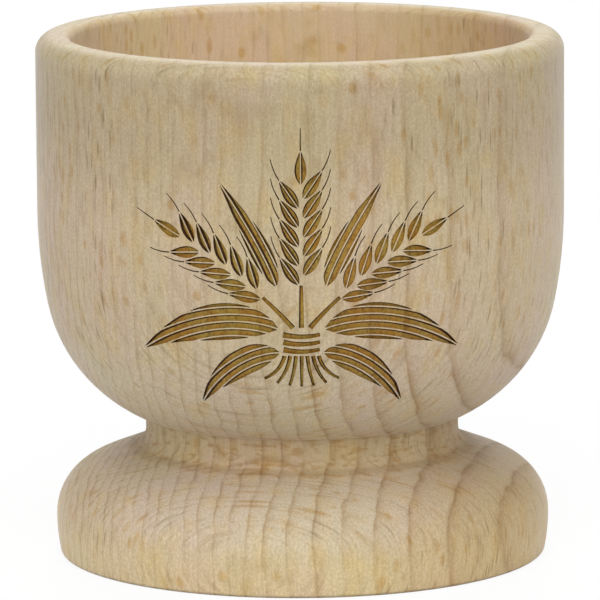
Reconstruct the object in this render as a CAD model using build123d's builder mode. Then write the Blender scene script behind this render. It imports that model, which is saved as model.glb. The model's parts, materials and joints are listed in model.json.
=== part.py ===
"""Egg cup turned from one piece of beech: a round foot, a narrow neck and a straight-walled bowl.

Sizes are in millimetres. The origin is the centre of the foot's underside, with +Z up along the turning axis.
"""
import os
from math import asin, cos, degrees, radians, sin, tan

from build123d import *

# Foot
FOOT_DIAMETER = 47.0          # widest part of the foot
FOOT_HEIGHT = 10.4            # table to the crease where the foot meets the neck
CROWN_RADIUS = 5.5            # shoulder of the foot, above its widest part
CROWN_SLOPE = 21.0            # degrees that the foot's top falls away from the neck
FLANK_RADIUS = 17.0           # side of the foot, below its widest part
BASE_ROUND = 0.5              # eased edge that meets the table

# Neck
NECK_DIAMETER = 29.8
WAIST_HEIGHT = 3.0            # open height between the foot's crease and the bowl's underside
CAVETTO_RADIUS = 1.6          # concave curve that leads from the neck to the foot
CAVETTO_TURN = 74.0           # degrees of that curve, which stops short of the foot's slope and leaves a crease

# Bowl
BOWL_HEIGHT = 36.4            # underside at the neck to the rim
MOUTH_DIAMETER = 43.4         # across the hollow, where a hen's egg rests
RIM_WALL = 3.3
WALL_HEIGHT = 16.7            # straight outside wall, measured down from the rim
BELLY_RADIUS = 45.0           # slow curve that starts below the straight wall
BELLY_TURN = 11.3             # degrees of the slow curve, before the tight one that runs under the bowl
UNDERSIDE_LEDGE = 0.4         # flat ring on the bowl's underside, beside the neck
SEAT_DEPTH = 8.3              # straight part of the hollow, above its ball-shaped bottom
RIM_OUTER_ROUND = 1.6
RIM_INNER_ROUND = 0.8

mouth_radius = MOUTH_DIAMETER / 2
bowl_radius = mouth_radius + RIM_WALL
neck_radius = NECK_DIAMETER / 2
foot_radius = FOOT_DIAMETER / 2

bowl_bottom = FOOT_HEIGHT + WAIST_HEIGHT
rim_height = bowl_bottom + BOWL_HEIGHT

# The crease is where the cavetto stops.
cavetto_height = FOOT_HEIGHT + CAVETTO_RADIUS * sin(radians(CAVETTO_TURN))
crease_radius = neck_radius + CAVETTO_RADIUS * (1 - cos(radians(CAVETTO_TURN)))

# The foot's top falls in a straight line from the crease and runs tangent into the crown.
crown_centre = foot_radius - CROWN_RADIUS
crown_start = crown_centre + CROWN_RADIUS * sin(radians(CROWN_SLOPE))
crown_top = FOOT_HEIGHT - (crown_start - crease_radius) * tan(radians(CROWN_SLOPE))
widest_height = crown_top - CROWN_RADIUS * cos(radians(CROWN_SLOPE))

# The flank is tangent to the crown at the widest part and turns in until it reaches the table.
flank_turn = degrees(asin(widest_height / FLANK_RADIUS))

with BuildPart() as turned_cup:
    # The outside is turned in one pass, from the foot up to the rim.
    with BuildSketch(Plane.XZ):
        with BuildLine():
            widest = (foot_radius, widest_height)
            flank = JernArc(widest, (0, -1), FLANK_RADIUS, -flank_turn)
            crown = JernArc(widest, (0, 1), CROWN_RADIUS, 90 - CROWN_SLOPE)
            Line(crown @ 1, (crease_radius, FOOT_HEIGHT))
            cavetto_centre = (neck_radius + CAVETTO_RADIUS, cavetto_height)
            cavetto = CenterArc(cavetto_centre, CAVETTO_RADIUS, 180 + CAVETTO_TURN, -CAVETTO_TURN)
            neck = Line(cavetto @ 1, (neck_radius, bowl_bottom))
            wall = Line((bowl_radius, rim_height), (bowl_radius, rim_height - WALL_HEIGHT))
            belly = JernArc(wall @ 1, (0, -1), BELLY_RADIUS, -BELLY_TURN)
            ledge = Line(neck @ 1, (neck_radius + UNDERSIDE_LEDGE, bowl_bottom))
            TangentArc(belly @ 1, ledge @ 1, tangent=belly % 1)
            Polyline(wall @ 0, (0, rim_height), (0, 0), flank @ 1)
        make_face()
    revolve(axis=Axis.Z)

    # The hollow is bored straight for the egg's widest part, then closes in a ball-shaped bottom.
    with BuildSketch(Plane.XZ):
        with BuildLine():
            seat = Line((mouth_radius, rim_height), (mouth_radius, rim_height - SEAT_DEPTH))
            bottom = JernArc(seat @ 1, (0, -1), mouth_radius, -90)
            Polyline(bottom @ 1, (0, rim_height), seat @ 0)
        make_face()
    revolve(axis=Axis.Z, mode=Mode.SUBTRACT)

    # Sharp edges are eased where a hand, an egg or the table meets them.
    rim_inside = turned_cup.edges().group_by(Axis.Z)[-1].sort_by(SortBy.LENGTH)[0]
    fillet(rim_inside, RIM_INNER_ROUND)
    rim_outside = turned_cup.edges().group_by(Axis.Z)[-1].sort_by(SortBy.LENGTH)[-1]
    fillet(rim_outside, RIM_OUTER_ROUND)
    base_edge = turned_cup.edges().group_by(Axis.Z)[0].sort_by(SortBy.LENGTH)[-1]
    fillet(base_edge, BASE_ROUND)

os.makedirs("parts", exist_ok=True)

turned_cup.part.label = "turned_cup"
export_step(turned_cup.part, "parts/turned_cup.step")
print(f"turned cup: {rim_height:.1f} mm tall, {2 * bowl_radius:.1f} mm across, widest foot at {widest_height:.2f} mm")
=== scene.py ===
# %% [markdown]
# # A turned beech egg cup
# The cup is one piece of beech: a bowl, a neck and a foot, turned on a lathe and then engraved on its front.
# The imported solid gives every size. This lesson gives the solid its looks: fine curves, an engraved sheaf of
# wheat, wood that has grain all the way through, and a plain white studio.

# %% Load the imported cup
import json
from math import asin, atan2, ceil, copysign, cos, pi, radians, sin

import bmesh
import bpy
from mathutils import Matrix, Vector
from mathutils.bvhtree import BVHTree

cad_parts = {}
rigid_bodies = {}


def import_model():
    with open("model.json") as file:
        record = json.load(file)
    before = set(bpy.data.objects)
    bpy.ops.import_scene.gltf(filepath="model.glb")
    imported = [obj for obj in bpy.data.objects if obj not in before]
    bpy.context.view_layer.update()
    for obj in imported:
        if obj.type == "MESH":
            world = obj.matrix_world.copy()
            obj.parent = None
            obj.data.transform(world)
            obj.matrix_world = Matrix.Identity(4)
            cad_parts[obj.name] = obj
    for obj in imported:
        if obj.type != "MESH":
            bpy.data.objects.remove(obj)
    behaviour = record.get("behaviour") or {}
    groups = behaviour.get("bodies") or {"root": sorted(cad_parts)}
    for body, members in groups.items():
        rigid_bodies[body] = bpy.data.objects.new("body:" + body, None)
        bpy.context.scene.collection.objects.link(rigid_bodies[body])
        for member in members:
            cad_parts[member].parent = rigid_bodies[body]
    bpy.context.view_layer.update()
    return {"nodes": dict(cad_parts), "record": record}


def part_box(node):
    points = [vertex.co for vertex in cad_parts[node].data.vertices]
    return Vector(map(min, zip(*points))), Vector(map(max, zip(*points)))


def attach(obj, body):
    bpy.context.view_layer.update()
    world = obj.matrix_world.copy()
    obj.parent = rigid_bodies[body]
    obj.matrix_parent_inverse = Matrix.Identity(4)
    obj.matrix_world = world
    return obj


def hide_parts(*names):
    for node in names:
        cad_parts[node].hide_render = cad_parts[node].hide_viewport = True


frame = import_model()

MM = 0.001

cup_low, cup_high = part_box("turned_cup")
print("packed cup, mm:", [round(side / MM, 2) for side in cup_high - cup_low])

# %% [markdown]
# ## The camera
# The photograph was taken with a long lens from a little above the rim. The tilt, the distance and the lens
# come from fitting the cup's outline. A camera could be turned with Euler angles, but a roll about the line
# of sight is easier to read as one more rotation at the end, so the pose is a product of matrices. The
# Standard view shows colours as they are, with no film look laid over them.

# %% Camera
CAMERA_TILT = radians(9.57)
CAMERA_ROLL = radians(-0.38)
CAMERA_DISTANCE = 602 * MM
CLIP_START = 10 * MM
AIM_HEIGHT = 24.6 * MM
LENS_MM = 379.4
SENSOR_MM = 36
FRAME_PIXELS = 600
AXIS_PIXEL = (301.25, 294.47)

camera_data = bpy.data.cameras.new("portrait")
camera_data.lens = LENS_MM
camera_data.sensor_width = SENSOR_MM
camera_data.shift_x = (FRAME_PIXELS / 2 - AXIS_PIXEL[0]) / FRAME_PIXELS
camera_data.shift_y = (AXIS_PIXEL[1] - FRAME_PIXELS / 2) / FRAME_PIXELS
camera_data.clip_start = CLIP_START
camera = bpy.data.objects.new("portrait", camera_data)
bpy.context.scene.collection.objects.link(camera)
bpy.context.scene.camera = camera
bpy.context.scene.view_settings.view_transform = "Standard"
aim = Matrix.Translation((0, 0, AIM_HEIGHT))
tilt = Matrix.Rotation(pi / 2 - CAMERA_TILT, 4, "X")
step_back = Matrix.Translation((0, 0, CAMERA_DISTANCE))
camera.matrix_world = aim @ tilt @ step_back @ Matrix.Rotation(CAMERA_ROLL, 4, "Z")
print("camera at, mm:", [round(c / MM, 1) for c in camera.matrix_world.translation])

# %% [markdown]
# ## Helpers for node trees
# A material is a small network of nodes. Three helpers keep the networks short: one adds a node and sets its
# inputs, linking those that are sockets, one adds a Math node and returns its result, and one multiplies.


# %% Node helpers
def add_node(tree, kind, inputs=(), **settings):
    """Add a node, set its properties, and fill its inputs with values or with other nodes' sockets."""
    node = tree.nodes.new(kind)
    for name, value in settings.items():
        setattr(node, name, value)
    for name, value in dict(inputs).items():
        if isinstance(value, bpy.types.NodeSocket):
            tree.links.new(value, node.inputs[name])
        else:
            node.inputs[name].default_value = value
    return node


def calculate(tree, operation, first, second=0.0):
    """Add a Math node and return its result."""
    return add_node(tree, "ShaderNodeMath", {0: first, 1: second}, operation=operation).outputs[0]


def product(tree, first, *others):
    """Multiply values and return the result."""
    result = first
    for other in others:
        result = calculate(tree, "MULTIPLY", result, other)
    return result


print("node helpers ready")

# %% [markdown]
# ## The studio: floor
# The photograph has a white ground. A brighter floor would throw more light on the cup, so the floor is plain
# pale paper, and only for the camera's own rays is it mostly a white glow. The cup's soft shadow stays.

# %% Floor sheet
FLOOR_SIDE = 6.0

floor_mesh = bpy.data.meshes.new("floor")
sheet = bmesh.new()
bmesh.ops.create_grid(sheet, x_segments=1, y_segments=1, size=FLOOR_SIDE / 2)
sheet.to_mesh(floor_mesh)
sheet.free()
floor = bpy.data.objects.new("floor", floor_mesh)
bpy.context.scene.collection.objects.link(floor)
print("floor:", FLOOR_SIDE, "m across")

# %% White paper
PAPER_WHITE = (0.96, 0.96, 0.96, 1)
PAPER_ROUGHNESS = 0.9
PAPER_SPECULAR = 0.1
WHITE = (1, 1, 1, 1)
FULL_GLOW = {"Color": WHITE, "Strength": 1.0}
FLOOR_GLOW = 0.9

paper = bpy.data.materials.new("white_paper")
paper.use_nodes = True
paper_tree = paper.node_tree
paper_shader = paper_tree.nodes["Principled BSDF"]
paper_shader.inputs["Base Color"].default_value = PAPER_WHITE
paper_shader.inputs["Roughness"].default_value = PAPER_ROUGHNESS
paper_shader.inputs["Specular IOR Level"].default_value = PAPER_SPECULAR
light_path = add_node(paper_tree, "ShaderNodeLightPath").outputs
seen = calculate(paper_tree, "MAXIMUM", light_path["Is Camera Ray"], light_path["Is Glossy Ray"])
seen = calculate(paper_tree, "MAXIMUM", seen, light_path["Is Transmission Ray"])
glow = add_node(paper_tree, "ShaderNodeEmission", FULL_GLOW)
shaders = {0: product(paper_tree, seen, FLOOR_GLOW), 1: paper_shader.outputs[0], 2: glow.outputs[0]}
mixed = add_node(paper_tree, "ShaderNodeMixShader", shaders)
paper_tree.links.new(mixed.outputs[0], paper_tree.nodes["Material Output"].inputs["Surface"])
floor_mesh.materials.append(paper)
print("paper:", FLOOR_GLOW, "of it glows for the camera")

# %% [markdown]
# ## The studio: world and lamps
# The light in the photograph is even and soft. One lamp could light the front, but its shadow under the bowl
# would be too deep, so the light is shared out: a dim white world from all round, a broad lamp overhead for
# the hollow and the floor, two lamps in front at different heights, and one on each side. A small lamp on the
# upper left gives the grooves a shaded and a lit edge, and the lamp behind is for views of the back. What the
# camera sees past the floor is a white backdrop of strength 1, which lights nothing.

# %% World
WORLD_LIGHT = 0.3

world = bpy.data.worlds.new("studio")
bpy.context.scene.world = world
world.use_nodes = True
world_tree = world.node_tree
sky = world_tree.nodes["Background"]
sky.inputs["Color"].default_value = WHITE
sky.inputs["Strength"].default_value = WORLD_LIGHT
backdrop = add_node(world_tree, "ShaderNodeBackground", FULL_GLOW)
looking = add_node(world_tree, "ShaderNodeLightPath").outputs["Is Camera Ray"]
backgrounds = {0: looking, 1: sky.outputs[0], 2: backdrop.outputs[0]}
choice = add_node(world_tree, "ShaderNodeMixShader", backgrounds)
world_tree.links.new(choice.outputs[0], world_tree.nodes["World Output"].inputs["Surface"])
print("world light:", WORLD_LIGHT)


# %% Lamps
def add_lamp(name, place, side, watts):
    """Hang a square soft lamp at a place in metres, turned to the cup."""
    lamp_data = bpy.data.lights.new(name, "AREA")
    lamp_data.size = side
    lamp_data.energy = watts
    lamp = bpy.data.objects.new(name, lamp_data)
    bpy.context.scene.collection.objects.link(lamp)
    turn = (Vector((0, 0, AIM_HEIGHT)) - Vector(place)).to_track_quat("-Z", "Y")
    lamp.matrix_world = Matrix.Translation(place) @ turn.to_matrix().to_4x4()


add_lamp("overhead", place=(0, -0.1, 0.9), side=1.2, watts=1.6)
add_lamp("front", place=(0, -1.1, 0.8), side=0.7, watts=7.0)
add_lamp("high_front", place=(0, -0.55, 1.05), side=0.5, watts=2.8)
add_lamp("left", place=(-0.95, -0.25, 0.25), side=0.7, watts=0.95)
add_lamp("right", place=(0.95, -0.25, 0.55), side=0.7, watts=1.75)
add_lamp("upper_left", place=(-0.45, -0.7, 0.75), side=0.3, watts=0.7)
add_lamp("behind", place=(0, 1.1, 0.8), side=0.7, watts=7.0)
print("lamps:", [lamp.name for lamp in bpy.data.lights])

# %% [markdown]
# ## The turned body
# A lathe makes a shape by turning one outline about an axis, and so does Spin. The outline could be drawn
# again here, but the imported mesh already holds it. Two cuts through a copy of that mesh leave the half
# section, from the middle of the foot to the middle of the hollow. Long straight stretches are then divided,
# so that the spun faces are small enough to engrave.

# %% Half section of the cup
LONGEST_STEP = 0.9 * MM
WELD = 0.001 * MM


def half_section():
    """Return a bmesh that holds only the cup's outline on the +X side of the XZ plane."""
    outline = bmesh.new()
    outline.from_mesh(frame["nodes"]["turned_cup"].data)
    bmesh.ops.remove_doubles(outline, verts=outline.verts, dist=WELD)
    # The first cut keeps what lies on the XZ plane, and the second keeps the +X half of that.
    for normal, clear_outer in (((0, 1, 0), True), ((1, 0, 0), False)):
        everything = outline.verts[:] + outline.edges[:] + outline.faces[:]
        bmesh.ops.bisect_plane(
            outline, geom=everything, plane_co=(0, 0, 0), plane_no=normal, dist=WELD,
            clear_inner=True, clear_outer=clear_outer)
    return outline


section = half_section()
for edge in section.edges[:]:
    pieces = ceil(edge.calc_length() / LONGEST_STEP)
    if pieces > 1:
        bmesh.ops.subdivide_edges(section, edges=[edge], cuts=pieces - 1)
print("half section:", len(section.verts), "points")

# %% Spin the section
TURN_STEPS = 180

bmesh.ops.spin(
    section, geom=section.verts[:] + section.edges[:], cent=(0, 0, 0), axis=(0, 0, 1),
    angle=2 * pi, steps=TURN_STEPS, use_merge=True)
bmesh.ops.remove_doubles(section, verts=section.verts, dist=WELD)
bmesh.ops.recalc_face_normals(section, faces=section.faces)
for face in section.faces:
    face.smooth = True
cup_mesh = bpy.data.meshes.new("beech_cup")
section.to_mesh(cup_mesh)
section.free()
cup = bpy.data.objects.new("beech_cup", cup_mesh)
bpy.context.scene.collection.objects.link(cup)
print("turned body:", len(cup_mesh.polygons), "faces")

# %% [markdown]
# ## The engraving: grooves
# A laser burns the front of the bowl about a third of a millimetre deep, so the drawing is real grooves and
# not paint. A groove could be drawn with a curve and a bevel, but a strip of faces is easier to taper: a flat
# grid of three rows is laid along a path, and each of its corners moves to its own distance from that path.
# The middle row is the toasted floor. An outer row is charred where it lies to the upper left, and there its
# dark colour is also painted shade, for the side that stays in the shade; where a groove is too fine for a
# floor it is charred all over. The drawing is made flat, in millimetres from the knot of the sheaf: u runs to
# the right and v up. It is bent round the bowl later.

# %% Paths
LOOK_AHEAD = 0.01


def quadratic(start, pull, end):
    """Return a curve from start to end that leans towards pull, as a function of 0 to 1."""
    start, pull, end = Vector(start), Vector(pull), Vector(end)

    def point(along):
        return start.lerp(pull, along).lerp(pull.lerp(end, along), along)
    return point


def stretch_of(path, first, last):
    """Return the part of a path between two of its places, as a path of its own."""
    return lambda along: path(first + (last - first) * along)


def heading_of(path, along):
    """Return the path's direction at a place, as a unit vector."""
    return (path(along + LOOK_AHEAD) - path(along - LOOK_AHEAD)).normalized()


def left_of(path, along):
    """Return the direction to the left of the path at a place, as a unit vector."""
    heading = heading_of(path, along)
    return Vector((-heading.y, heading.x))


print("paths look", LOOK_AHEAD, "of their length ahead")

# %% Finish of a groove
# Finish 2 is char on the finest lines, and on the shaded outer rows it is also painted shade.
TOASTED, CHAR_AND_PAINTED_SHADE = 1, 2
FINE_WIDTH = 0.13
# The side where the outer rows are charred and painted dark as shade, as a direction in the drawing, and how
# far round from it that painted shade reaches.
PAINTED_SHADE_SIDE = Vector((-0.5, 0.85))
PAINTED_SHADE_LIMIT = -0.15
# The strip's rows are laid on a grid from -1 to 1, where the outer rows lie past this line.
GROOVE_ROWS = 3
OUTER_ROW = 0.5


def burn_and_shade_at(path, width, along, across):
    """Return a groove's finish at a place along its path and across its strip: painted shade on the shaded
    outer row.
    """
    outward = left_of(path, along) * copysign(1, across)
    shaded = abs(across) > OUTER_ROW and outward.dot(PAINTED_SHADE_SIDE) > PAINTED_SHADE_LIMIT
    return CHAR_AND_PAINTED_SHADE if shaded or width < FINE_WIDTH else TOASTED


print("charred all over: grooves under", FINE_WIDTH, "mm")

# %% Groove helper
# The width of a groove's outer rows; on the shaded side they carry the painted shade.
EDGE_ROW_WIDTH = 0.15


def add_groove(drawing, path, near_edge, far_edge, steps):
    """Lay a flat strip along a path, between two distances to its left that may change along it."""
    corners = bmesh.ops.create_grid(drawing, x_segments=steps, y_segments=GROOVE_ROWS, size=1)["verts"]
    for face in {face for corner in corners for face in corner.link_faces}:
        middle = face.calc_center_median()
        along = (middle.x + 1) / 2
        width = abs(far_edge(along) - near_edge(along))
        face.material_index = burn_and_shade_at(path, width, along, middle.y)
    for corner in corners:
        along, across = (corner.co.x + 1) / 2, corner.co.y
        near, far = near_edge(along), far_edge(along)
        reach = abs(far - near) / 2
        if abs(across) < OUTER_ROW:
            reach = max(reach - EDGE_ROW_WIDTH, reach / GROOVE_ROWS)
        spot = path(along) + left_of(path, along) * ((near + far) / 2 + copysign(reach, across))
        corner.co = (spot.x, spot.y, 0)


def add_groove_pair(drawing, path, inner, edge, steps):
    """Lay a groove on each side of a path, from a fixed distance out to an edge that may change along it."""
    for side in (-1, 1):
        add_groove(drawing, path, lambda along: side * inner, lambda along: side * edge(along), steps)


drawing = bmesh.new()
# The shaded outer rows are charred and painted dark as shade.
print("charred edges:", EDGE_ROW_WIDTH, "mm wide")

# %% [markdown]
# ## The engraving: ears of wheat
# Each ear is two rows of grains along a curved stem. A grain is two half-moon grooves, and the wood between
# them stays as a bare crease. A hair-thin groove, the awn, runs on from each grain's tip. The grains are all
# alike, so one function lays a grain at any place and lean, and the ear calls it for each of its rows.

# %% Lines and leans
LINE_TAPER = 0.35


def along_lean(lean, length):
    """Return a step of a length, leaning from straight up to the right by an angle."""
    return Vector((sin(lean), cos(lean))) * length


def lean_of(path, along):
    """Return how far the path leans from straight up to the right at a place, as an angle."""
    heading = heading_of(path, along)
    return atan2(heading.x, heading.y)


def add_line(drawing, path, width, steps):
    """Lay a groove that starts at a width and narrows a little towards its far end."""
    def half(along):
        return width / 2 * (1 - LINE_TAPER * along)
    add_groove(drawing, path, lambda along: -half(along), half, steps)


print("lines narrow by", LINE_TAPER)

# %% Grains
FINEST = 0.05
CREASE = 0.055
GRAIN_LENGTH = 2.9
GRAIN_BULGE = 0.45
GRAIN_SKEW = 0.8
GRAIN_STEPS = 8
AWN_LENGTH = 2.1
AWN_WIDTH = 0.12
AWN_GAP = 0.14
AWN_STEPS = 4


def add_grain(drawing, base, lean, awn_lean):
    """Lay one grain, fuller near its base, with an awn that bends off from its tip."""
    tip = base + along_lean(lean, GRAIN_LENGTH)

    def edge(along):
        return CREASE + FINEST + GRAIN_BULGE * sin(pi * along ** GRAIN_SKEW)
    add_groove_pair(drawing, quadratic(base, (base + tip) / 2, tip), CREASE, edge, GRAIN_STEPS)
    start = tip + along_lean(lean, AWN_GAP)
    end = start + along_lean(awn_lean, AWN_LENGTH)
    awn = quadratic(start, start + along_lean(lean, AWN_LENGTH / 2), end)
    add_line(drawing, awn, AWN_WIDTH, AWN_STEPS)


print("grains:", GRAIN_LENGTH, "mm long")

# %% An ear
GRAIN_LEAN = radians(34)
AWN_LEAN = radians(22)
EAR_ROWS = 5
EAR_START = 0.34
ROW_STAGGER = 0.25
ROW_SPREAD = 0.26


def add_ear(drawing, path, leader):
    """Lay an ear on the last part of a path: two rows of grains, one further on, and a grain at the tip."""
    row_step = (1 - EAR_START) / EAR_ROWS
    for row in range(EAR_ROWS):
        for side in (-1, 1):
            along = EAR_START + row_step * (row + ROW_STAGGER * side * leader)
            lean = lean_of(path, along)
            base = path(along) + along_lean(lean + side * pi / 2, ROW_SPREAD)
            add_grain(drawing, base, lean + side * GRAIN_LEAN, lean + side * AWN_LEAN)
    add_grain(drawing, path(1), lean_of(path, 1), lean_of(path, 1))


print("an ear:", 2 * EAR_ROWS + 1, "grains")

# %% Three ears in a fan
FAN_WIDTH = 14.6
FAN_HEIGHT = 13.4
FAN_STEP = radians(52)
STEM_SPACING = 0.8
STEM_BOW = 1.1
STEM_WIDTH = 0.5
STEM_GAP = 0.04
STEM_STEPS = 10

for place in (-1, 0, 1):
    foot = Vector((place * STEM_SPACING, 0))
    tip = Vector((FAN_WIDTH * sin(place * FAN_STEP), FAN_HEIGHT * cos(place * FAN_STEP)))
    bow = Vector((-tip.y, tip.x)).normalized() * place * STEM_BOW
    stem = quadratic(foot, tip / 2 + bow, tip)
    add_line(drawing, stretch_of(stem, 0, EAR_START - STEM_GAP), STEM_WIDTH, STEM_STEPS)
    add_ear(drawing, stem, leader=-1 if place > 0 else 1)
print("ears: three, faces so far", len(drawing.faces))

# %% [markdown]
# ## The engraving: blades, twine and cut stems
# A leaf blade is a bundle of long grooves side by side, with bare veins between them. Each groove stops where
# the blade's outline would cut it. Three bands of twine hold the sheaf, and the cut stems spread below them.

# %% Blades
VEIN = 0.13
VEIN_PITCH = 0.68
BLADE_SKEW = 0.75
BLADE_STEPS = 20
# Each blade is its root, the point it leans towards, its tip, and half its width.
BLADES = (
    ((2.3, 3.9), (3.4, 7.4), (7.8, 13.8), 1.0),
    ((2.2, -0.1), (8.2, 2.0), (16.6, -2.8), 1.75),
    ((2.1, -2.4), (6.2, -2.4), (11.4, -8.0), 1.35),
)


def add_blade(drawing, path, half_width):
    """Lay a leaf blade: parallel grooves on both sides of a bare midrib."""
    row = 0
    while row * VEIN_PITCH + VEIN / 2 + FINEST < half_width:
        inner = row * VEIN_PITCH + VEIN / 2
        outer = (row + 1) * VEIN_PITCH - VEIN / 2
        rise = asin((inner + FINEST) / half_width) / pi
        first, last = rise ** (1 / BLADE_SKEW), (1 - rise) ** (1 / BLADE_SKEW)

        def edge(along):
            place = first + (last - first) * along
            outline = half_width * sin(pi * place ** BLADE_SKEW)
            return min(outer, max(outline, inner + FINEST))

        add_groove_pair(drawing, stretch_of(path, first, last), inner, edge, BLADE_STEPS)
        row += 1


for side in (-1, 1):
    for root, pull, tip, half_width in BLADES:
        route = [(side * u, v) for u, v in (root, pull, tip)]
        add_blade(drawing, quadratic(*route), half_width)
print("blades: six, faces so far", len(drawing.faces))

# %% Twine
TWINE_BANDS = 3
TWINE_TOP = -0.65
TWINE_PITCH = 0.72
TWINE_WIDTH = 0.55
TWINE_REACH = 1.75
TWINE_SAG = 0.4
TWINE_STEPS = 8

for band in range(TWINE_BANDS):
    height = TWINE_TOP - TWINE_PITCH * band
    ends = [(side * TWINE_REACH, height) for side in (-1, 1)]
    twine = quadratic(ends[0], (0, height - TWINE_SAG), ends[1])
    add_line(drawing, twine, TWINE_WIDTH, TWINE_STEPS)
print("twine:", TWINE_BANDS, "bands")

# %% Cut stems
CUT_STEMS = 7
CUT_TOP = -2.7
CUT_LENGTH = 3.1
CUT_WIDTH = 0.42
CUT_SPACING = 0.55
CUT_BEND = 0.68
CUT_SPREAD = 1.25
CUT_RISE = 0.09
CUT_STEPS = 6

for stem in range(CUT_STEMS):
    place = stem - CUT_STEMS // 2
    start = Vector((CUT_SPACING * place, CUT_TOP))
    pull = Vector((CUT_BEND * place, CUT_TOP - CUT_LENGTH / 2))
    end = Vector((CUT_SPREAD * place, CUT_TOP - CUT_LENGTH + CUT_RISE * place ** 2))
    add_line(drawing, quadratic(start, pull, end), CUT_WIDTH, CUT_STEPS)
print("drawing:", len(drawing.faces), "faces")

# %% [markdown]
# ## The engraving: bend and cut
# The flat drawing is extruded to blocks, which are bent round the bowl and taken away from it with a Boolean.
# The blocks' normals are put right while they are still flat: a thin bent block can be read inside out, and
# would then cut nothing. A ray shot at the wall tells how far out it stands at each height, so the grooves
# keep their depth on the belly too. The blocks' own material numbers pass to the faces they leave, so a floor
# comes out as it was laid, and a groove's wall takes the finish of the row that it rises from.

# %% Bend the drawing
SHEAF_HEIGHT = 25.6
BURN_DEPTH = 0.34 * MM
CLEARANCE = 0.4 * MM

bowl_tree = BVHTree.FromPolygons([v.co for v in cup_mesh.vertices], [p.vertices for p in cup_mesh.polygons])
bowl_radius = cup_high.x


def wall_radius(height):
    """Return how far the bowl's outside stands from the axis at a height."""
    outside = Vector((0, -2 * bowl_radius, height))
    return -bowl_tree.ray_cast(outside, Vector((0, 1, 0)))[0].y


raised = bmesh.ops.extrude_face_region(drawing, geom=drawing.faces[:], use_keep_orig=True)["geom"]
tops = {item for item in raised if isinstance(item, bmesh.types.BMVert)}
bmesh.ops.translate(drawing, verts=list(tops), vec=(0, 0, 1))
bmesh.ops.recalc_face_normals(drawing, faces=drawing.faces)
for corner in drawing.verts:
    turn = corner.co.x * MM / bowl_radius
    height = (SHEAF_HEIGHT + corner.co.y) * MM
    radius = wall_radius(height) + (CLEARANCE if corner in tops else -BURN_DEPTH)
    corner.co = (radius * sin(turn), -radius * cos(turn), height)
cutter_mesh = bpy.data.meshes.new("engraving_cutter")
drawing.to_mesh(cutter_mesh)
drawing.free()
cutter = bpy.data.objects.new("engraving_cutter", cutter_mesh)
bpy.context.scene.collection.objects.link(cutter)
print("cutter:", len(cutter_mesh.polygons), "faces")

# %% Cut the bowl
beech = bpy.data.materials.new("sanded_beech")
toasted = bpy.data.materials.new("toasted_floor")
# This finish is char on the finest lines, and painted shade on the shaded outer rows and their walls.
char_and_shade = bpy.data.materials.new("charred_edge")
finishes = (beech, toasted, char_and_shade)
for finish in finishes:
    cup_mesh.materials.append(finish)
    cutter_mesh.materials.append(finish)

cut = cup.modifiers.new("engrave", "BOOLEAN")
cut.operation = "DIFFERENCE"
cut.solver = "MANIFOLD"
cut.object = cutter
graph = bpy.context.evaluated_depsgraph_get()
engraved_mesh = bpy.data.meshes.new_from_object(cup.evaluated_get(graph))
engraved_mesh.name = "engraved_cup"
cup.modifiers.clear()
cup.data = engraved_mesh
bpy.data.objects.remove(cutter)
numbers = [face.material_index for face in engraved_mesh.polygons]
print("engraved faces:", {finish.name: numbers.count(number) for number, finish in enumerate(finishes)})

# %% [markdown]
# ## The engraving: sharp lips
# The body is shaded smooth, but a groove's lip is a real edge. Every edge that turns by more than a set angle
# is marked sharp, so that the light breaks there and the wall beside the groove stays evenly lit.

# %% Sharp lips
SHARP_ANGLE = radians(35)

engraved = bmesh.new()
engraved.from_mesh(engraved_mesh)
for edge in engraved.edges:
    edge.smooth = edge.calc_face_angle() < SHARP_ANGLE
print("sharp edges:", sum(not edge.smooth for edge in engraved.edges))
engraved.to_mesh(engraved_mesh)
engraved.free()

# %% [markdown]
# ## Beech
# Beech is pale, close-grained wood. Its growth rings are thin dark lines, and its rays are thin plates that
# run across the rings: they show as short dashes on one side of the cup and as broad flecks on the other.
# A picture wrapped round the cup would slide over the rim and the foot. A pattern that fills space, read
# with Object coordinates, is cut by the turned surface just as the lathe cuts a block of wood. Every size in
# the pattern is in millimetres: across the rings, along them, and up the cup.

# %% Place in the block
RING_TURN = radians(11.3)


def grain_place(tree):
    """Return the place in the block of wood, in millimetres, turned so that X runs across the rings."""
    place = add_node(tree, "ShaderNodeTexCoord").outputs["Object"]
    settings = {"Vector": place, "Rotation": (0, 0, RING_TURN), "Scale": (1 / MM, 1 / MM, 1 / MM)}
    return add_node(tree, "ShaderNodeMapping", settings).outputs[0]


def axis_of(tree, place, axis):
    """Return one coordinate of a place: X, Y or Z."""
    return add_node(tree, "ShaderNodeSeparateXYZ", {0: place}).outputs[axis]


def length_of(tree, vector):
    """Return the length of a vector."""
    return add_node(tree, "ShaderNodeVectorMath", {0: vector}, operation="LENGTH").outputs["Value"]


def stretch(tree, place, size):
    """Return a place that is counted in steps of a size along each axis."""
    scale = [1 / side for side in size]
    return add_node(tree, "ShaderNodeMapping", {"Vector": place, "Scale": scale}).outputs[0]


print("rings turned by", round(RING_TURN, 3), "radians")

# %% [markdown]
# Four small helpers read the pattern: a noise with spots of a given size, a smooth ramp from one range to
# another, and two short forms of that ramp, for what fades out and for what a mask switches over. Below, a
# RANGE holds the two levels of a noise between which a mark comes in, a RISE or a FADE holds the two places
# between which it grows or goes, and a SHARE says how much of it is left.


# %% Texture helpers
def noise(tree, place, size, detail=2.0):
    """Add a Noise texture with spots of about a size. Return its factor."""
    settings = {"Vector": stretch(tree, place, size), "Scale": 1.0, "Detail": detail}
    return add_node(tree, "ShaderNodeTexNoise", settings).outputs["Fac"]


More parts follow.
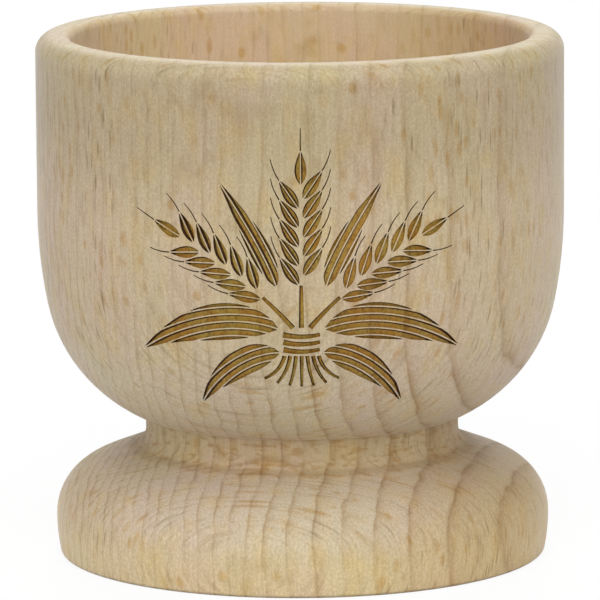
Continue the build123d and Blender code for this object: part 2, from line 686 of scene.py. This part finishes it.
def ramp(tree, value, low, high, start=0.0, end=1.0):
    """Map a value smoothly from one range to another, and stop at its ends."""
    settings = {"Value": value, "From Min": low, "From Max": high, "To Min": start, "To Max": end}
    return add_node(tree, "ShaderNodeMapRange", settings, interpolation_type="SMOOTHSTEP").outputs[0]


def fade(tree, value, low, high):
    """Return 1 below a range and 0 above it, with a smooth fall between."""
    return ramp(tree, value, low, high, 1.0, 0.0)


def switch(tree, mask, off, on):
    """Return one value where a mask is 0 and another where it is 1."""
    return ramp(tree, mask, 0.0, 1.0, off, on)


print("texture helpers ready")

# %% [markdown]
# Colours are mixed by the Mix node. It has sockets for every kind of data, so a colour's sockets are picked
# by number. A tint multiplies the colour below it instead of covering it.

# %% Colour helpers
FACTOR_IN, FIRST_COLOUR_IN, SECOND_COLOUR_IN, COLOUR_OUT = 0, 6, 7, 2


def blend(tree, factor, first, second, kind="MIX"):
    """Mix two colours by a factor and return the result."""
    inputs = {FACTOR_IN: factor, FIRST_COLOUR_IN: first, SECOND_COLOUR_IN: second}
    return add_node(tree, "ShaderNodeMix", inputs, data_type="RGBA", blend_type=kind).outputs[COLOUR_OUT]


def multiply_tint(tree, colour, mask, tint):
    """Multiply a colour by a tint, as far as a mask from 0 to 1 says."""
    return blend(tree, mask, colour, tint, "MULTIPLY")


print("colour helpers ready")

# %% [markdown]
# ## Beech: growth rings
# The rings of a big tree are nearly flat sheets here, because the pith is far away. They are narrow on the
# left of the cup and wide on the right, so their number follows an exponential curve across the cup. A ring
# starts with a thin dark line, which widens with the square root of the ring's width, and a soft shade
# follows it. Two noises make the sheets drift and ripple, a third one breaks the lines, and each year has a
# line of its own strength.

# %% Growth rings
RING_WIDTH = 1.8
WIDENING = 26.0
DRIFT, DRIFT_SIZE = 2.2, (14.0, 14.0, 20.0)
RIPPLE, RIPPLE_SIZE = 0.9, (2.0, 2.0, 6.2)
BREAK_SIZE, BREAK_RANGE, BROKEN_SHARE = (2.2, 2.2, 8.3), (0.35, 0.6), 0.3
FAINT_YEAR = 0.6
LINE_DEPTH = 0.2        # over which the line fades into the new ring, at the axis
LINE_ONSET = 28.0       # power by which the line comes in at the end of the old ring
SHADE_TAIL = 3.2        # power by which the shade fades across a ring
SHADE_RISE, SHADE_SHARE = (-6.0, 12.0), 0.35


def growth_rings(tree, place):
    """Return the dark ring lines and the soft shade that follows each of them."""
    drift = product(tree, noise(tree, place, DRIFT_SIZE), DRIFT)
    ripple = product(tree, noise(tree, place, RIPPLE_SIZE), RIPPLE)
    across = calculate(tree, "ADD", axis_of(tree, place, "X"), calculate(tree, "ADD", drift, ripple))
    narrowing = calculate(tree, "EXPONENT", calculate(tree, "DIVIDE", across, -WIDENING))
    age = product(tree, narrowing, -WIDENING / RING_WIDTH)
    grown = calculate(tree, "FRACT", age)
    left = calculate(tree, "SUBTRACT", 1.0, grown)
    year = calculate(tree, "FLOOR", age)
    vigour = add_node(tree, "ShaderNodeTexWhiteNoise", {"W": year}, noise_dimensions="1D").outputs[0]
    broken = ramp(tree, noise(tree, place, BREAK_SIZE), *BREAK_RANGE, BROKEN_SHARE, 1.0)
    spread = calculate(tree, "SQRT", narrowing)
    past_line = calculate(tree, "DIVIDE", product(tree, grown, RING_WIDTH), spread)
    tail = calculate(tree, "EXPONENT", calculate(tree, "DIVIDE", past_line, -LINE_DEPTH))
    line = calculate(tree, "MAXIMUM", tail, calculate(tree, "POWER", grown, LINE_ONSET))
    shade = calculate(tree, "POWER", left, SHADE_TAIL)
    wide = ramp(tree, across, *SHADE_RISE, SHADE_SHARE, 1.0)
    return product(tree, line, broken, switch(tree, vigour, FAINT_YEAR, 1.0)), product(tree, shade, wide)


print("rings:", RING_WIDTH, "mm wide at the axis")

# %% [markdown]
# ## Beech: the way the surface faces
# End grain shows its rings more than the straight walls do, and a ray looks different where the surface meets
# it flat on. The turned shape knows where that is: the more a surface faces up or down, the more it is end
# grain, and the more it faces along the rings, the flatter it meets the rays. Each corner of each face stores
# both as attributes. A point could store them too, but a point on a groove's lip would mix the wall outside
# with the groove's wall.

# %% Facing
along_rings = Vector((sin(RING_TURN), cos(RING_TURN), 0))
up_the_cup = Vector((0, 0, 1))


def store_facing(name, direction):
    """Store on each corner how squarely the surface faces a direction or its opposite, from 0 to 1."""
    facing = [abs(normal.vector.dot(direction)) for normal in engraved_mesh.corner_normals]
    engraved_mesh.attributes.new(name, "FLOAT", "CORNER").data.foreach_set("value", facing)
    print(name, "stored on", len(facing), "corners")


def stored(tree, name):
    """Return what the corners store under a name."""
    return add_node(tree, "ShaderNodeAttribute", attribute_name=name).outputs["Fac"]


store_facing("ray_face", along_rings)
store_facing("end_grain", up_the_cup)

# %% [markdown]
# ## Beech: rays
# Rays are scattered plates, long across the rings, thin along them and a few millimetres tall. Cells of a
# stretched Voronoi texture are a quick way to scatter them: near a cell's middle is inside the plate. Broad
# plates are ochre flecks, and thin ones are dark dashes. A stretched noise adds the faint sheets between
# them. A finer one draws arcs on the belly and the foot, where the sloping surface cuts through one sheet
# after another, and a flat one makes the short bars that show on the neck.

# %% Ray plates
BROAD_RAY, BROAD_REACH = (6.0, 0.70, 2.8), (0.12, 0.42)
SMALL_FLECK, SMALL_REACH = (2.4, 0.90, 2.8), (0.10, 0.30)
FINE_RAY, FINE_REACH = (7.0, 0.28, 3.4), (0.08, 0.38)
PLATE_STRENGTH = (0.2, 0.95)


def plates(tree, place, size, reach):
    """Add scattered lens-shaped plates. Return up to 1 inside a plate's core and 0 past its reach."""
    cells = add_node(tree, "ShaderNodeTexVoronoi", {"Vector": stretch(tree, place, size), "Scale": 1.0})
    strength = add_node(tree, "ShaderNodeSeparateColor", {"Color": cells.outputs["Color"]}).outputs[0]
    inside = fade(tree, cells.outputs["Distance"], *reach)
    return product(tree, inside, ramp(tree, strength, *PLATE_STRENGTH))


print("rays, mm:", BROAD_RAY, SMALL_FLECK, FINE_RAY)

# %% Rays
SHEET_SIZE, SHEET_RANGE = (8.0, 0.40, 3.0), (0.52, 0.75)
ARC_SIZE, ARC_RANGE = (12.0, 0.17, 7.0), (0.50, 0.70)
ARC_FACE, ARC_SLOPE = (0.70, 0.95), (0.02, 0.15)
BAR_SIZE, BAR_RANGE = (1.1, 1.1, 0.4), (0.48, 0.70)
FLAT_ON, FLAT_ON_SHARE = (0.80, 0.97), 0.3


def rays(tree, place):
    """Return the ochre flecks, the dark dashes, the faint sheets and the short bars."""
    flat_on = stored(tree, "ray_face")
    edge_on = ramp(tree, flat_on, *FLAT_ON, 1.0, FLAT_ON_SHARE)
    broad = product(tree, plates(tree, place, BROAD_RAY, BROAD_REACH), edge_on)
    flecks = calculate(tree, "MAXIMUM", broad, plates(tree, place, SMALL_FLECK, SMALL_REACH))
    dashes = product(tree, plates(tree, place, FINE_RAY, FINE_REACH), edge_on)
    sheets = ramp(tree, noise(tree, place, SHEET_SIZE), *SHEET_RANGE)
    arcs = ramp(tree, noise(tree, place, ARC_SIZE, detail=1.0), *ARC_RANGE)
    sloping = ramp(tree, stored(tree, "end_grain"), *ARC_SLOPE)
    arcs = product(tree, arcs, ramp(tree, flat_on, *ARC_FACE), sloping)
    bars = ramp(tree, noise(tree, place, BAR_SIZE), *BAR_RANGE)
    return flecks, dashes, calculate(tree, "MAXIMUM", sheets, arcs), bars


print("sheets, arcs and bars, mm:", SHEET_SIZE, ARC_SIZE, BAR_SIZE)

# %% [markdown]
# ## Beech: zones
# Most of these zones are painted light and shade. The foot is painted lighter as light from the floor, the
# neck as light in the shade under the bowl and the hollow as light that falls into it, and the rim and the
# foot's shoulder carry a painted highlight. The edge on the table has a painted contact shadow, and the foot's
# sides, the crease above the foot and the wall below the rim are painted darker as shade. The belly is made a
# little lighter and bluer, and the wood is browner to the right, on its heart side. Painting these by hand
# would tie them to one mesh, so each zone is a ramp on the height, on the distance from the axis or on the
# place across the rings. The hollow is told by the distance from the ball that its bottom is part of, and the
# seat for the egg gives that ball.

# %% Zones of the foot
# The foot's zones carry painted light and shade: a contact shadow on the edge on the table, light from the
# floor on the foot, shade on its sides and in the crease, and a highlight on its shoulder.
BASE_CONTACT_SHADE = (0.05, 0.4)
FOOT_FADE = (1.0, 9.0)
FOOT_TOP, FOOT_SIDES = (10.0, 13.0), (10.0, 21.0)
SHOULDER_RISE, SHOULDER_FADE = (3.0, 6.0), (9.5, 12.0)
CREASE_HEIGHT, CREASE_SHADE_REACH = 10.4, (0.08, 0.35)


def foot_zones(tree, place):
    """Return where the foot, its edge on the table, its sides, its shoulder and its crease are; most carry
    painted light and shade.
    """
    height = axis_of(tree, place, "Z")
    sideways = calculate(tree, "ABSOLUTE", axis_of(tree, place, "X"))
    shoulder = product(tree, ramp(tree, height, *SHOULDER_RISE), fade(tree, height, *SHOULDER_FADE))
    off_crease = calculate(tree, "ABSOLUTE", calculate(tree, "SUBTRACT", height, CREASE_HEIGHT))
    return {
        "base": fade(tree, height, *BASE_CONTACT_SHADE),
        "foot": fade(tree, height, *FOOT_FADE),
        "foot_sides": product(tree, fade(tree, height, *FOOT_TOP), ramp(tree, sideways, *FOOT_SIDES)),
        "shoulder": product(tree, shoulder, fade(tree, sideways, *FOOT_SIDES)),
        "crease": fade(tree, off_crease, *CREASE_SHADE_REACH),
    }


print("crease of the foot:", CREASE_HEIGHT, "mm high")

# %% Zones of the bowl
# Most bowl zones carry painted light and shade: light on the neck and in the hollow, a highlight on the rim
# and shade on the wall below it.
NECK_FADE, NECK_RADIUS = (14.0, 18.0), (15.5, 18.0)
BELLY_RISE, BELLY_FADE = (13.0, 15.0), (18.0, 28.0)
WALL_RISE, WALL_RADIUS = (33.0, 44.0), (23.5, 24.7)
RIM_DEPTH = (2.2, 0.6)
HOLLOW_SKIN = (0.2, 1.0)
HEART_INSIDE, HEART_OUTSIDE, HEART_FADE = (1.0, 17.0), (6.0, 22.0), (15.0, 25.0)
LEVEL = (1, 1, 0)

seat = next(mount for mount in frame["record"]["mounts"] if mount["name"] == "egg_seat")
ball_radius = seat["dims"]["r_mm"]
ball_height = seat["pos_m"][2] / MM - seat["dims"]["length_mm"] / 2
rim_height = cup_high.z / MM


def hollow_zone(tree, radius, height):
    """Return where the wood is the hollow's skin: straight above the ball's middle, and round below it."""
    below = calculate(tree, "MINIMUM", calculate(tree, "SUBTRACT", height, ball_height), 0.0)
    from_ball = length_of(tree, add_node(tree, "ShaderNodeCombineXYZ", {0: radius, 1: below}).outputs[0])
    return fade(tree, from_ball, *[ball_radius + skin for skin in HOLLOW_SKIN])


def bowl_zones(tree, place):
    """Return where the wood is the neck, the belly, the upper wall, the rim, the hollow or the heart."""
    flat = add_node(tree, "ShaderNodeVectorMath", {0: place, 1: LEVEL}, operation="MULTIPLY").outputs[0]
    radius = length_of(tree, flat)
    height = axis_of(tree, place, "Z")
    across = axis_of(tree, place, "X")
    hollow = hollow_zone(tree, radius, height)
    rim = ramp(tree, height, *[rim_height - depth for depth in RIM_DEPTH])
    inside = product(tree, hollow, ramp(tree, across, *HEART_INSIDE))
    outside = product(tree, fade(tree, height, *HEART_FADE), ramp(tree, across, *HEART_OUTSIDE))
    return {
        "neck": product(tree, fade(tree, height, *NECK_FADE), fade(tree, radius, *NECK_RADIUS)),
        "belly": product(tree, ramp(tree, height, *BELLY_RISE), fade(tree, height, *BELLY_FADE)),
        "upper_wall": product(tree, ramp(tree, height, *WALL_RISE), ramp(tree, radius, *WALL_RADIUS)),
        "rim": product(tree, rim, calculate(tree, "SUBTRACT", 1.0, hollow)),
        "hollow": hollow,
        "heart": calculate(tree, "MAXIMUM", inside, outside),
    }


print("ball of the hollow, mm:", ball_radius, "round a middle", round(ball_height, 2), "high")

# %% [markdown]
# ## Beech: how strongly the rings show
# The rings are plain on end grain and fainter on the straight walls, where the cut runs along the fibres.
# On the walls and the belly they show more to the right, where they are wide. The foot and the neck keep a
# share of their own, and they are faint again near the rim.

# %% Ring strength
END_GRAIN_RISE = (0.0, 0.65)
WALL_SHARE, WIDE_RING_SHARE = 0.48, 0.62
FOOT_SHARE = 0.45
NECK_SHARE = 0.9
BELLY_SHARE = 0.8
RIM_FADE, RIM_SHARE = (44.0, 48.0), 0.55


def ring_strength(tree, place, zone):
    """Return how strongly the rings show: fully on end grain, less on the walls, the belly and the rim."""
    across = axis_of(tree, place, "X")
    wall = ramp(tree, across, *SHADE_RISE, WALL_SHARE, WIDE_RING_SHARE)
    shown = ramp(tree, stored(tree, "end_grain"), *END_GRAIN_RISE, wall, 1.0)
    for name, share in (("foot", FOOT_SHARE), ("neck", NECK_SHARE)):
        shown = calculate(tree, "MAXIMUM", shown, product(tree, zone[name], share))
    belly = ramp(tree, across, *SHADE_RISE, BELLY_SHARE, 1.0)
    rim = ramp(tree, axis_of(tree, place, "Z"), *RIM_FADE, 1.0, RIM_SHARE)
    return product(tree, shown, switch(tree, zone["belly"], 1.0, belly), rim)


print("rings on the walls: from", WALL_SHARE, "on the left to", WIDE_RING_SHARE, "on the right")

# %% [markdown]
# ## Beech: colour
# The wood drifts between pink and yellow, with ochre mottles. Everything else is a tint that multiplies
# that, so that a line or a fleck keeps the colour of the wood it lies in; most zone tints paint light and
# shade in the same way. A dark tint takes more of the blue than of the red, which is what makes it look
# brown and not grey.

# %% Plain wood
PINK_BEECH = (0.486, 0.378, 0.264, 1)
YELLOW_BEECH = (0.475, 0.39, 0.242, 1)
OCHRE_BEECH = (0.488, 0.37, 0.19, 1)
PATCH_SIZE, PATCH_RANGE = (7.7, 7.7, 14.0), (0.3, 0.7)
MOTTLE_SIZE, MOTTLE_RANGE, MOTTLE_SHARE = (2.0, 2.0, 3.6), (0.45, 0.75), 0.75


def plain_wood(tree, place):
    """Return the wood's colour before any ring, ray or fibre marks it."""
    patch = ramp(tree, noise(tree, place, PATCH_SIZE, detail=1.0), *PATCH_RANGE)
    mottle = ramp(tree, noise(tree, place, MOTTLE_SIZE), *MOTTLE_RANGE, 0.0, MOTTLE_SHARE)
    return blend(tree, mottle, blend(tree, patch, PINK_BEECH, YELLOW_BEECH), OCHRE_BEECH)


print("patches of the wood, mm:", PATCH_SIZE, MOTTLE_SIZE)

# %% Rings and rays
RING_SHADE, SHADE_STRENGTH = (0.80, 0.69, 0.54, 1), 0.6
RING_LINE, LINE_STRENGTH = (0.60, 0.48, 0.31, 1), 0.9
SHEET_BROWN, SHEET_STRENGTH = (0.80, 0.74, 0.65, 1), 0.6
BAR_OCHRE = (0.84, 0.73, 0.54, 1)
FLECK_OCHRE = (0.88, 0.76, 0.56, 1)
DASH_BROWN = (0.52, 0.47, 0.36, 1)
DASH_RISE, DASH_ON_WALL, DASH_ON_END = (0.2, 0.8), 0.85, 0.5
SMOOTH_DASH_SHARE = 0.7


def figure(tree, place, colour, neck, smooth, line, shade):
    """Stain a colour with the rings' shade, the rays and the ring lines."""
    flecks, dashes, sheets, bars = rays(tree, place)
    colour = multiply_tint(tree, colour, product(tree, shade, SHADE_STRENGTH), RING_SHADE)
    colour = multiply_tint(tree, colour, product(tree, sheets, switch(tree, neck, SHEET_STRENGTH, 1.0)), SHEET_BROWN)
    colour = multiply_tint(tree, colour, product(tree, bars, neck), BAR_OCHRE)
    colour = multiply_tint(tree, colour, flecks, FLECK_OCHRE)
    dark = ramp(tree, stored(tree, "end_grain"), *DASH_RISE, DASH_ON_WALL, DASH_ON_END)
    dark = product(tree, dark, switch(tree, smooth, 1.0, SMOOTH_DASH_SHARE))
    colour = multiply_tint(tree, colour, product(tree, dashes, dark), DASH_BROWN)
    return multiply_tint(tree, colour, product(tree, line, LINE_STRENGTH), RING_LINE)


print("figure of the wood ready")

# %% Fibres and specks
FIBRE_SIZE, FIBRE_RANGE = (0.22, 0.22, 4.2), (0.25, 0.75)
DARK_FIBRE, PALE_FIBRE = (0.94, 0.925, 0.90, 1), (1.06, 1.07, 1.09, 1)
SPECKLE_SIZE, SPECKLE_RANGE = (0.17, 0.17, 0.25), (0.2, 0.8)
DARK_SPECK, PALE_SPECK = (0.865, 0.85, 0.81, 1), (1.135, 1.145, 1.18, 1)
SMOOTH_FIBRE_SHARE = 0.4


def fibres(tree, place, colour, smooth):
    """Stain a colour with fine fibres and specks. Return it, and the fibres for a relief."""
    fibre = noise(tree, place, FIBRE_SIZE, detail=4.0)
    speckle = noise(tree, place, SPECKLE_SIZE, detail=3.0)
    sanded = switch(tree, smooth, 1.0, SMOOTH_FIBRE_SHARE)
    streaks = blend(tree, ramp(tree, fibre, *FIBRE_RANGE), DARK_FIBRE, PALE_FIBRE)
    specks = blend(tree, ramp(tree, speckle, *SPECKLE_RANGE), DARK_SPECK, PALE_SPECK)
    return multiply_tint(tree, multiply_tint(tree, colour, sanded, streaks), sanded, specks), fibre


print("fibres, mm:", FIBRE_SIZE)

# %% All of the wood
SHADE_POWER = 2.0
NECK_SMOOTHNESS = 0.7
LINE_RELIEF = 0.6
ZONE_TINTS_AND_PAINTED_LIGHT = {
    # painted contact shadow on the edge on the table
    "base": (0.55, 0.54, 0.53, 1),
    # painted light from the floor on the foot
    "foot": (1.29, 1.30, 1.22, 1),
    # painted shade on the foot's sides
    "foot_sides": (0.97, 0.96, 0.91, 1),
    # painted highlight on the foot's shoulder
    "shoulder": (1.06, 1.08, 1.23, 1),
    # painted shade in the crease above the foot
    "crease": (0.87, 0.84, 0.77, 1),
    # painted light on the neck, in the shade under the bowl
    "neck": (1.12, 1.09, 1.03, 1),
    "belly": (1.015, 1.05, 1.13, 1),
    # painted shade on the wall below the rim
    "upper_wall": (0.84, 0.83, 0.80, 1),
    # painted highlight on the rim
    "rim": (1.17, 1.22, 1.22, 1),
    # painted light in the hollow
    "hollow": (1.33, 1.31, 1.28, 1),
    "heart": (0.88, 0.82, 0.77, 1),
}


def beech_pattern(tree):
    """Build the wood, with painted light and shade in its zones, in a material's tree. Return its colour, and
    a relief for its bump.
    """
    place = grain_place(tree)
    zone = foot_zones(tree, place) | bowl_zones(tree, place)
    visible = ring_strength(tree, place, zone)
    line, shade = growth_rings(tree, place)
    line = product(tree, line, visible)
    shade = product(tree, shade, calculate(tree, "POWER", visible, SHADE_POWER))
    smooth = calculate(tree, "MAXIMUM", zone["hollow"], product(tree, zone["neck"], NECK_SMOOTHNESS))
    colour = figure(tree, place, plain_wood(tree, place), zone["neck"], smooth, line, shade)
    colour, fibre = fibres(tree, place, colour, smooth)
    # Most zone tints paint light and shade over the wood's colour.
    for name, tint in ZONE_TINTS_AND_PAINTED_LIGHT.items():
        colour = multiply_tint(tree, colour, zone[name], tint)
    return colour, calculate(tree, "SUBTRACT", fibre, product(tree, line, LINE_RELIEF))


print("zones of the wood:", list(ZONE_TINTS_AND_PAINTED_LIGHT))

# %% [markdown]
# ## Beech: surface
# Sanded, unvarnished wood is matt, with a faint fuzz that catches light along the outline. Sheen gives that
# fuzz. The fibres give a very shallow bump, and the roughness follows them.

# %% Wood finish
BUMP_DEPTH = 0.05 * MM
RELIEF_RANGE = (0.2, 0.8)
ROUGHNESS_SPREAD = 0.06
WOOD_SPECULAR = 0.3
FUZZ_ROUGHNESS = 0.4


def finish_wood(material, tint, roughness, bump, fuzz):
    """Give a material the beech pattern, tinted, with its roughness, a fine bump and a sanded fuzz."""
    material.use_nodes = True
    tree = material.node_tree
    shader = tree.nodes["Principled BSDF"]
    colour, relief = beech_pattern(tree)
    tree.links.new(tint(tree, colour), shader.inputs["Base Color"])
    spread = ramp(tree, relief, *RELIEF_RANGE, roughness + ROUGHNESS_SPREAD, roughness - ROUGHNESS_SPREAD)
    tree.links.new(spread, shader.inputs["Roughness"])
    shader.inputs["Specular IOR Level"].default_value = WOOD_SPECULAR
    shader.inputs["Sheen Weight"].default_value = fuzz
    shader.inputs["Sheen Roughness"].default_value = FUZZ_ROUGHNESS
    dents = add_node(tree, "ShaderNodeBump", {"Strength": bump, "Distance": BUMP_DEPTH, "Height": relief})
    tree.links.new(dents.outputs[0], shader.inputs["Normal"])


def as_sanded(tree, colour):
    """Leave the wood as it is."""
    return colour


finish_wood(beech, as_sanded, roughness=0.6, bump=0.35, fuzz=0.25)
print("beech:", len(beech.node_tree.nodes), "nodes")

# %% [markdown]
# ## Burnt wood
# The laser browns the groove's floor unevenly: olive where it only toasts the wood, orange where resin cooks,
# with small spots of char. The wood's own pattern still shows through, so the burn multiplies it instead of
# covering it. The darkest finish is char on the finest lines, and on the shaded outer rows it is painted
# shade as well.

# %% Burnt materials
BURN_SIZE, BURN_RANGE = (1.8, 1.8, 2.5), (0.38, 0.66)
SPOT_SIZE, SPOT_RANGE = (0.25, 0.25, 0.35), (0.48, 0.72)
CHAR_SPOT = (0.62, 0.56, 0.45, 1)
TOASTED_OLIVE, TOASTED_ORANGE = (0.89, 0.74, 0.235, 1), (0.89, 0.60, 0.14, 1)
# The darkest colours are char, and on the shaded outer rows they are painted shade as well.
CHAR_AND_SHADE_OLIVE, CHAR_AND_SHADE_ORANGE = (0.14, 0.075, 0.012, 1), (0.13, 0.06, 0.006, 1)
FULLY = 1.0


def burn(olive, orange):
    """Return a tint that browns the wood in patches between two colours, with spots of char."""
    def tint(tree, colour):
        place = grain_place(tree)
        patch = ramp(tree, noise(tree, place, BURN_SIZE, detail=3.0), *BURN_RANGE)
        browned = multiply_tint(tree, colour, FULLY, blend(tree, patch, olive, orange))
        return multiply_tint(tree, browned, ramp(tree, noise(tree, place, SPOT_SIZE), *SPOT_RANGE), CHAR_SPOT)
    return tint


finish_wood(toasted, burn(TOASTED_OLIVE, TOASTED_ORANGE), roughness=0.7, bump=0.5, fuzz=0.0)
finish_wood(char_and_shade, burn(CHAR_AND_SHADE_OLIVE, CHAR_AND_SHADE_ORANGE), roughness=0.75, bump=0.5, fuzz=0.0)
print("burnt finishes:", toasted.name, char_and_shade.name)

# %% [markdown]
# ## Hand the piece over
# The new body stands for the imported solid, rides on its body and takes its finish from the beech slot.

# %% Finish
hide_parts("turned_cup")
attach(cup, "root")

print("handed over:", cup.name, "with", len(cup.data.polygons), "faces")
